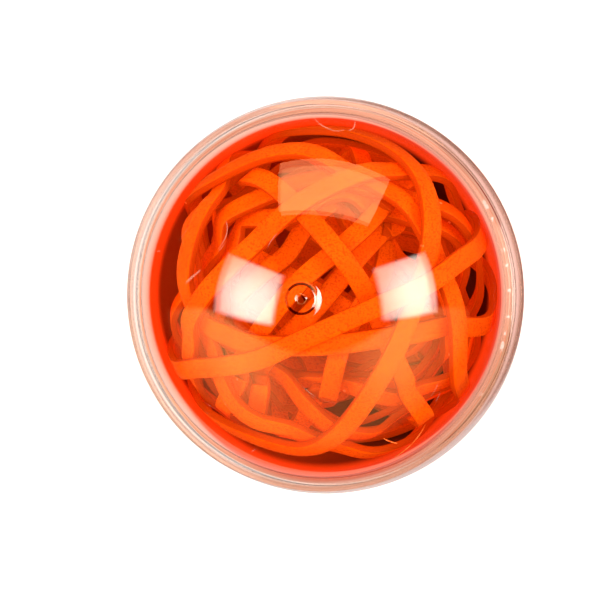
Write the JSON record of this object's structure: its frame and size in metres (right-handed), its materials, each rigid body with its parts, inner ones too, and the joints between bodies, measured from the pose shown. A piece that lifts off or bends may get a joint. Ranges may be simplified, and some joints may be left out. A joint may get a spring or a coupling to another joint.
{
  "type": "rubber band ball in a clear-lidded capsule",
  "caption": "Round two-part capsule with a clear lid over an opaque bowl, filled with a nest of loose flat rubber bands.",
  "frame": {"origin": "centre of the ball, on the plane of the belt", "axes": "+Z through the pole of the clear lid, -Z through the pole of the bowl; +X and +Y are level"},
  "size_m": [0.065, 0.065, 0.0623],
  "materials": {
    "bowl_plastic": "opaque glossy red-orange moulded polystyrene",
    "clear_plastic": "clear glossy moulded polystyrene",
    "band_rubber": "smooth matt orange rubber with a trace of dust"
  },
  "bodies": {
    "base": {"bowl": "bowl_plastic", "long_diagonal": "band_rubber", "right_loop": "band_rubber", "wide_arc": "band_rubber", "top_arc": "band_rubber", "hooked_band": "band_rubber", "left_outer_arc": "band_rubber", "steep_cross": "band_rubber", "first_left_stripe": "band_rubber", "upper_stripe": "band_rubber", "second_left_stripe": "band_rubber", "lower_stripe": "band_rubber", "low_left_stripe": "band_rubber", "inner_right_arc": "band_rubber", "lower_right_stripe": "band_rubber", "right_wall_arc": "band_rubber", "low_rim_stripe": "band_rubber", "inner_arc": "band_rubber", "top_slant": "band_rubber", "pole_band": "band_rubber", "core_band": "band_rubber"},
    "lid": {"clear_lid": "clear_plastic"}
  },
  "joints": [
    {"name": "lid_lift", "type": "slide", "parent": "base", "child": "lid", "axis": [0, 0, 1], "range_m": [0, 0.04]}
  ]
}
